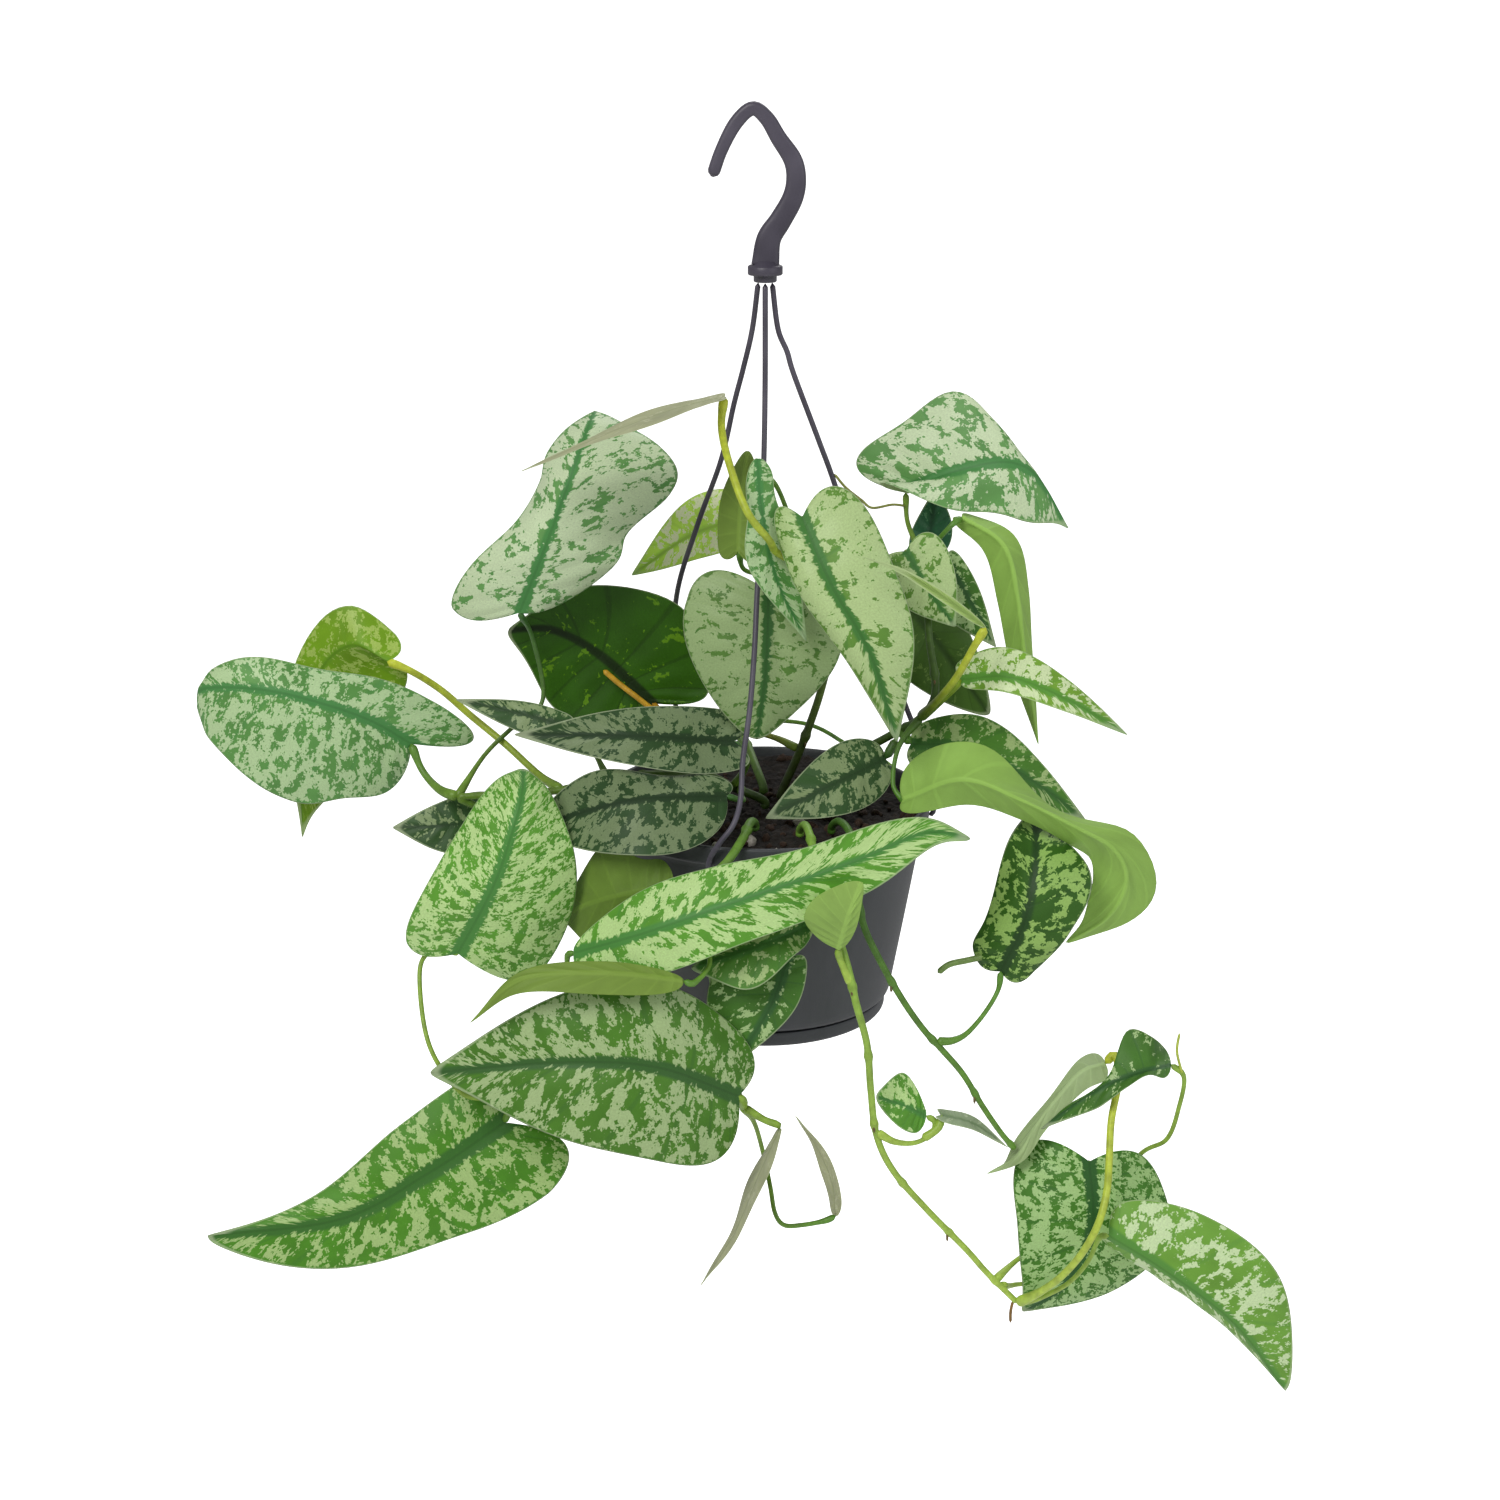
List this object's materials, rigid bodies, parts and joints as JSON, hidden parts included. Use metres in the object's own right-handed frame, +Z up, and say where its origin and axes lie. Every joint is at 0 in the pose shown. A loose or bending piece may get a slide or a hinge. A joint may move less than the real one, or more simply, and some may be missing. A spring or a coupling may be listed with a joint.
{
  "type": "satin pothos in a hanging nursery pot",
  "caption": "Trailing satin pothos with heart-shaped, silver-blotched green leaves, rooted in a dark plastic hanging pot with a hook hanger and drip saucer.",
  "frame": {"origin": "inside of the hook's crown, the point that rests on the rail or ceiling hook", "axes": "+Z up; -Y towards the side that most leaves face; +X to the right seen from that side"},
  "size_m": [0.4841, 0.2547, 0.5479],
  "materials": {
    "hanger_plastic": "moulded, satin, dark violet grey",
    "pot_plastic": "thin moulded plastic, satin, slate grey",
    "potting_soil": "damp loose compost with bark and roots",
    "stem_green": "smooth living stem, waxy",
    "leaf_tissue": "velvety satin leaf, green with silver blotches"
  },
  "bodies": {
    "root": {"hanger_hook": "hanger_plastic", "strap_left": "hanger_plastic", "strap_front": "hanger_plastic", "strap_right": "hanger_plastic", "pot": "pot_plastic", "drip_saucer": "pot_plastic", "soil": "potting_soil", "crown_left": "stem_green", "crown_middle": "stem_green", "crown_right": "stem_green", "crown_back": "stem_green", "vine_front": "stem_green", "vine_right": "stem_green", "vine_low": "stem_green", "leaf_01": "leaf_tissue", "leaf_02": "leaf_tissue", "leaf_03": "leaf_tissue", "leaf_04": "leaf_tissue", "leaf_05": "leaf_tissue", "leaf_06": "leaf_tissue", "leaf_07": "leaf_tissue", "leaf_08": "leaf_tissue", "leaf_09": "leaf_tissue", "leaf_10": "leaf_tissue", "leaf_11": "leaf_tissue", "leaf_12": "leaf_tissue", "leaf_13": "leaf_tissue", "leaf_14": "leaf_tissue", "leaf_15": "leaf_tissue", "leaf_16": "leaf_tissue", "leaf_17": "leaf_tissue", "leaf_18": "leaf_tissue", "leaf_19": "leaf_tissue", "leaf_20": "leaf_tissue", "leaf_21": "leaf_tissue", "leaf_22": "leaf_tissue", "leaf_23": "leaf_tissue", "leaf_24": "leaf_tissue", "leaf_25": "leaf_tissue", "leaf_26": "leaf_tissue", "leaf_27": "leaf_tissue", "leaf_28": "leaf_tissue", "leaf_29": "leaf_tissue", "leaf_30": "leaf_tissue", "leaf_31": "leaf_tissue", "leaf_32": "leaf_tissue", "leaf_33": "leaf_tissue", "leaf_34": "leaf_tissue", "leaf_35": "leaf_tissue", "leaf_36": "leaf_tissue", "leaf_37": "leaf_tissue", "leaf_38": "leaf_tissue", "leaf_39": "leaf_tissue", "leaf_41": "leaf_tissue", "leaf_42": "leaf_tissue", "leaf_43": "leaf_tissue", "leaf_44": "leaf_tissue", "leaf_45": "leaf_tissue", "leaf_48": "leaf_tissue", "leaf_49": "leaf_tissue"}
  },
  "joints": []
}
